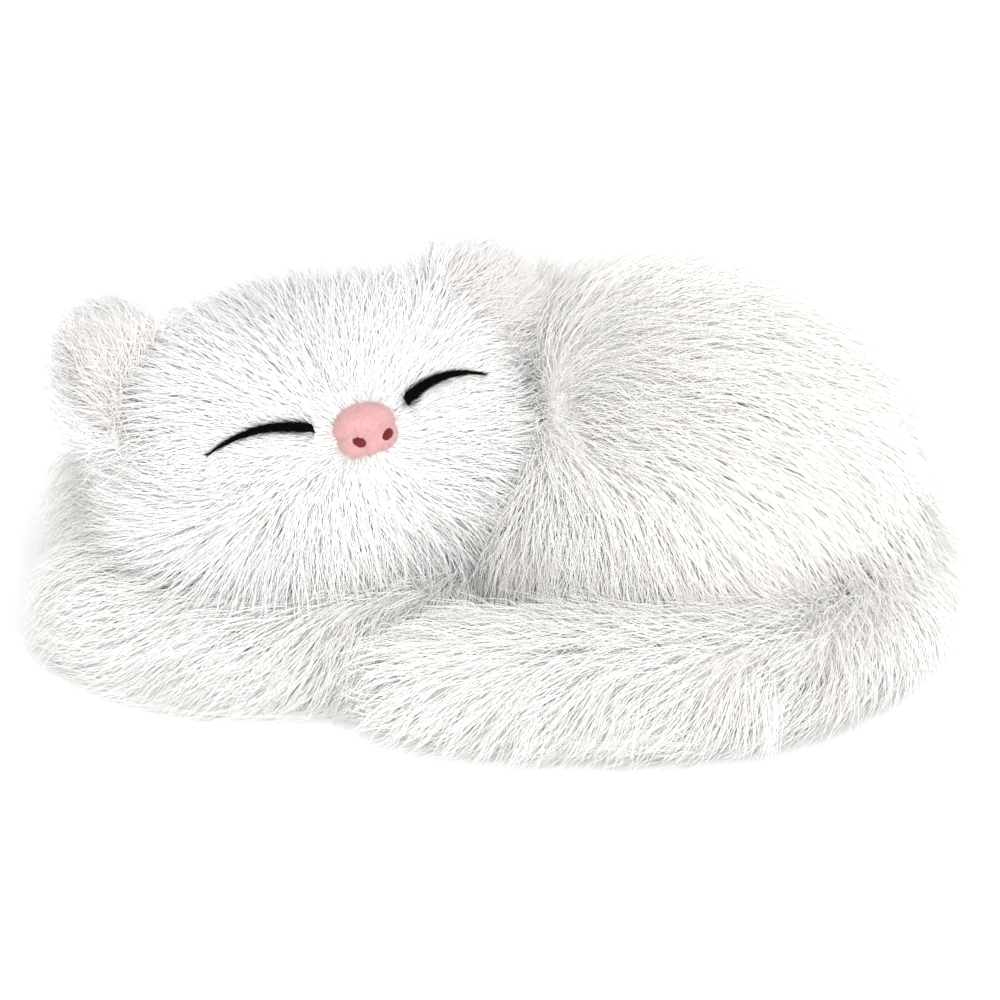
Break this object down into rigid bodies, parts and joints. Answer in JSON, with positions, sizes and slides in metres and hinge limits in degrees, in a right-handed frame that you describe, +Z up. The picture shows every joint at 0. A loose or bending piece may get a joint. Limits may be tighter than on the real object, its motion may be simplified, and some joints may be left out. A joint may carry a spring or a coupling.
{
  "type": "plush animal",
  "caption": "Curled, sleeping long-haired plush cat with a felt nose, lash eyes, folding ears and a tail laid round its side.",
  "frame": {"origin": "middle of the underside, on the floor", "axes": "+X from the head end to the rump, -Y towards the face side, +Z up; left and right are the cat's own"},
  "size_m": [0.281, 0.19, 0.1156],
  "materials": {
    "white_pile": "long, soft, slightly glossy polyester pile, laid in swirls",
    "ear_pile": "short pile with a faint pink cast",
    "backing_cloth": "knitted polyester backing, matt",
    "fibre_fill": "loose polyester fibre",
    "pink_felt": "needle-felted wool, matt with a fine fuzz",
    "black_hair": "stiff polyester bristle, satin",
    "thread": "polyester sewing thread, slightly glossy"
  },
  "bodies": {
    "body": {"base_panel": "backing_cloth", "closing_stitches": "thread", "body_stuffing": "fibre_fill", "haunch_panel": "white_pile", "rump_panel": "white_pile", "chest_panel": "white_pile", "shoulder_panel": "white_pile"},
    "head": {"head_stuffing": "fibre_fill", "crown_panel": "white_pile", "nape_panel": "white_pile", "muzzle_panel": "white_pile", "right_cheek_panel": "white_pile", "left_cheek_panel": "white_pile", "nose": "pink_felt", "right_lash": "black_hair", "left_lash": "black_hair"},
    "right_ear": {"right_ear_outer": "white_pile", "right_ear_lining": "ear_pile"},
    "left_ear": {"left_ear_outer": "white_pile", "left_ear_lining": "ear_pile"},
    "tail": {"tail_sleeve": "white_pile", "tail_stuffing": "fibre_fill"}
  },
  "joints": [
    {"name": "neck_nod", "type": "hinge", "parent": "body", "child": "head", "pos_m": [-0.051, -0.014, 0.07], "axis": [-0.9397, -0.342, 0], "range_deg": [0, 12]},
    {"name": "right_ear_fold", "type": "hinge", "parent": "head", "child": "right_ear", "pos_m": [-0.10622, -0.02311, 0.08942], "axis": [0.3308, 0.5531, 0.7647], "range_deg": [-15, 20], "stiffness_Nm_per_rad": 0.02},
    {"name": "left_ear_fold", "type": "hinge", "parent": "head", "child": "left_ear", "pos_m": [-0.00943, 0.01212, 0.08942], "axis": [0.6089, -0.211, -0.7647], "range_deg": [-15, 20], "stiffness_Nm_per_rad": 0.02},
    {"name": "tail_sweep", "type": "hinge", "parent": "body", "child": "tail", "pos_m": [0.12382, 0.00316, 0.0205], "axis": [0, 0, 1], "range_deg": [0, 35]}
  ]
}
